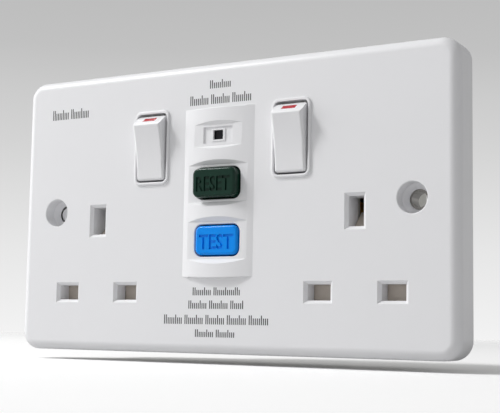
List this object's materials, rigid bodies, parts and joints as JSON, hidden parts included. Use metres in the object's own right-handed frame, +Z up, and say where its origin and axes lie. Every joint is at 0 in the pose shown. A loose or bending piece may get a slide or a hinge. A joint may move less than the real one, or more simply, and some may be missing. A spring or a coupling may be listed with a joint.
{
  "type": "rcd wall socket",
  "caption": "White wall-mounted double power socket with rocker switches, an earth-leakage trip with reset and test buttons, a trip indicator and shuttered pin apertures.",
  "frame": {"origin": "midway between the two fixing holes, on the wall plane at the plate's rear rim", "axes": "+X to the right seen from the front, +Z up, -Y out of the wall towards the user"},
  "size_m": [0.147, 0.0392, 0.0862],
  "materials": {
    "white_moulding": "glossy white urea moulding",
    "rocker_white": "glossy white moulding",
    "inner_moulding": "plain off-white moulding",
    "carriage_moulding": "plain moulding",
    "shutter_moulding": "cream moulding",
    "red_mark": "red moulding",
    "black_flag": "black moulding",
    "reset_green": "very dark green moulding",
    "test_blue": "bright blue moulding",
    "zinc_screw": "zinc plated",
    "eyelet_metal": "dull plated steel",
    "spring_steel": "bright wire",
    "plunger_nylon": "natural nylon",
    "contact_brass": "rolled brass strip",
    "magnet_steel": "plated steel",
    "copper_winding": "enamelled copper",
    "core_black": "dark moulded case",
    "board_green": "circuit board laminate",
    "capacitor_blue": "dipped component",
    "resistor_tan": "coated component"
  },
  "bodies": {
    "frame": {"front_plate": "white_moulding", "fixing_eyelets": "eyelet_metal", "mechanism_deck": "inner_moulding", "rear_housing": "inner_moulding", "housing_screws": "zinc_screw", "live_feed": "contact_brass", "neutral_contact": "contact_brass", "neutral_clip_left": "contact_brass", "neutral_clip_right": "contact_brass", "live_clip_left": "contact_brass", "live_clip_right": "contact_brass", "earth_clip_left": "contact_brass", "earth_clip_right": "contact_brass", "live_link_left": "contact_brass", "live_link_right": "contact_brass", "neutral_busbar": "contact_brass", "terminal_earth_left": "contact_brass", "terminal_neutral": "contact_brass", "terminal_live": "contact_brass", "terminal_earth_right": "contact_brass", "terminal_screws": "zinc_screw", "earth_strap": "contact_brass", "shutter_spring_left": "spring_steel", "shutter_spring_right": "spring_steel", "reset_spring": "spring_steel", "test_spring": "spring_steel", "test_contact": "contact_brass", "trip_chassis": "magnet_steel", "solenoid_yoke": "magnet_steel", "solenoid_coil": "copper_winding", "solenoid_spring": "spring_steel", "sensing_core": "core_black", "core_conductors": "copper_winding", "circuit_board": "board_green", "capacitor": "capacitor_blue", "varistor": "capacitor_blue", "thyristor": "core_black", "resistors": "resistor_tan"},
    "rocker_left": {"rocker_left": "rocker_white", "on_mark_left": "red_mark", "rocker_plunger_left": "plunger_nylon", "rocker_spring_left": "spring_steel"},
    "rocker_right": {"rocker_right": "rocker_white", "on_mark_right": "red_mark", "rocker_plunger_right": "plunger_nylon", "rocker_spring_right": "spring_steel"},
    "switch_arm_left": {"switch_arm_left": "contact_brass"},
    "switch_arm_right": {"switch_arm_right": "contact_brass"},
    "reset": {"reset_button": "reset_green"},
    "test": {"test_button": "test_blue"},
    "carriage": {"contact_carriage": "carriage_moulding", "flag_black": "black_flag", "flag_red": "red_mark", "moving_contacts": "contact_brass"},
    "shutter_left": {"shutter_left": "shutter_moulding"},
    "shutter_right": {"shutter_right": "shutter_moulding"},
    "solenoid_plunger": {"solenoid_plunger": "magnet_steel"}
  },
  "joints": [
    {"name": "rocker_left_tilt", "type": "hinge", "parent": "frame", "child": "rocker_left", "pos_m": [-0.0239, -0.007, 0.01865], "axis": [-1, 0, 0], "range_deg": [0, 14]},
    {"name": "switch_arm_left_tilt", "type": "hinge", "parent": "frame", "child": "switch_arm_left", "pos_m": [-0.0239, 0.004, 0.01865], "axis": [1, 0, 0], "range_deg": [0, 14]},
    {"name": "rocker_right_tilt", "type": "hinge", "parent": "frame", "child": "rocker_right", "pos_m": [0.0239, -0.007, 0.01865], "axis": [-1, 0, 0], "range_deg": [0, 14]},
    {"name": "switch_arm_right_tilt", "type": "hinge", "parent": "frame", "child": "switch_arm_right", "pos_m": [0.0239, 0.004, 0.01865], "axis": [1, 0, 0], "range_deg": [0, 14]},
    {"name": "reset_press", "type": "slide", "parent": "frame", "child": "reset", "axis": [0, 1, 0], "range_m": [0, 0.0026], "stiffness_N_per_m": 400, "springref_m": -0.001, "deforming": ["reset_spring"]},
    {"name": "carriage_lift", "type": "slide", "parent": "frame", "child": "carriage", "axis": [0, 0, 1], "range_m": [0, 0.00325]},
    {"name": "test_press", "type": "slide", "parent": "frame", "child": "test", "axis": [0, 1, 0], "range_m": [0, 0.0012], "stiffness_N_per_m": 500, "springref_m": -0.001, "deforming": ["test_spring"]},
    {"name": "shutter_left_slide", "type": "slide", "parent": "frame", "child": "shutter_left", "axis": [0, 0, -1], "range_m": [0, 0.0052], "stiffness_N_per_m": 150, "springref_m": -0.002, "deforming": ["shutter_spring_left"]},
    {"name": "shutter_right_slide", "type": "slide", "parent": "frame", "child": "shutter_right", "axis": [0, 0, -1], "range_m": [0, 0.0052], "stiffness_N_per_m": 150, "springref_m": -0.002, "deforming": ["shutter_spring_right"]},
    {"name": "solenoid_pull", "type": "slide", "parent": "frame", "child": "solenoid_plunger", "axis": [-1, 0, 0], "range_m": [0, 0.002], "stiffness_N_per_m": 120, "springref_m": -0.001, "deforming": ["solenoid_spring"]}
  ],
  "couplings": [
    {"joint": "switch_arm_left_tilt", "follows": "rocker_left_tilt", "ratio": 1},
    {"joint": "switch_arm_right_tilt", "follows": "rocker_right_tilt", "ratio": 1},
    {"joint": "carriage_lift", "follows": "reset_press", "ratio": 1.25}
  ]
}
